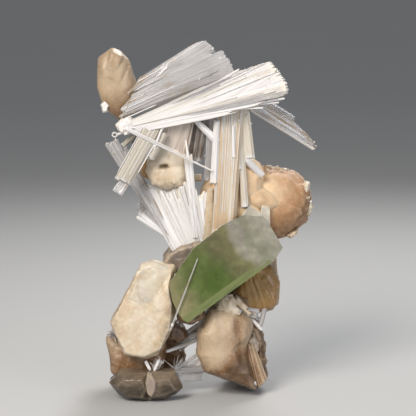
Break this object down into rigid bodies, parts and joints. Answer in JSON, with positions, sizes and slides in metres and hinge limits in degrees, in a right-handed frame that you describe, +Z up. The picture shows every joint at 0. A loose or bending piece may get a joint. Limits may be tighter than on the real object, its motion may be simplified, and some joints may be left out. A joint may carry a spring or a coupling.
{
  "type": "apophyllite cluster",
  "caption": "Upright mineral cluster of green apophyllite, peach and cream stilbite, and white to clear scolecite blades and needles, standing on its own crystals.",
  "frame": {"origin": "middle of the bounding box at the level of the resting facets", "axes": "+Z up, +X to the right along the face that shows best, +Y away from it"},
  "size_m": [0.0661, 0.0393, 0.1064],
  "materials": {
    "apophyllite_green": "glassy crystal faces with cloudy veils",
    "apophyllite_pale": "pearly crystal faces",
    "scolecite_silky": "silky, finely grooved along the length",
    "scolecite_clear": "glassy, grooved along the length",
    "stilbite_peach": "pearly to waxy",
    "stilbite_cream": "pearly to waxy",
    "stilbite_amber": "glassy to waxy",
    "stilbite_grey": "glassy to pearly",
    "stilbite_smoky": "glassy crystal faces"
  },
  "bodies": {
    "root": {"apophyllite_crystal": "apophyllite_green", "apophyllite_small": "apophyllite_pale", "scolecite_main_blade": "scolecite_silky", "scolecite_upper_fan": "scolecite_clear", "scolecite_right_spike": "scolecite_clear", "scolecite_upright_blades": "scolecite_clear", "scolecite_inner_blades": "scolecite_clear", "scolecite_white_spray": "scolecite_silky", "scolecite_diagonal_blade": "scolecite_silky", "scolecite_long_needle": "scolecite_silky", "scolecite_hair_needle": "scolecite_silky", "scolecite_short_rod": "scolecite_silky", "scolecite_low_needles": "scolecite_clear", "scolecite_hollow_needles": "scolecite_clear", "stilbite_upper_left": "stilbite_peach", "stilbite_centre": "stilbite_cream", "stilbite_right": "stilbite_peach", "stilbite_front_left": "stilbite_cream", "stilbite_back_left": "stilbite_cream", "stilbite_clear_bow_tie": "stilbite_smoky", "stilbite_lower_right": "stilbite_peach", "stilbite_amber": "stilbite_amber", "stilbite_grey": "stilbite_grey", "stilbite_small": "stilbite_amber"}
  },
  "joints": []
}
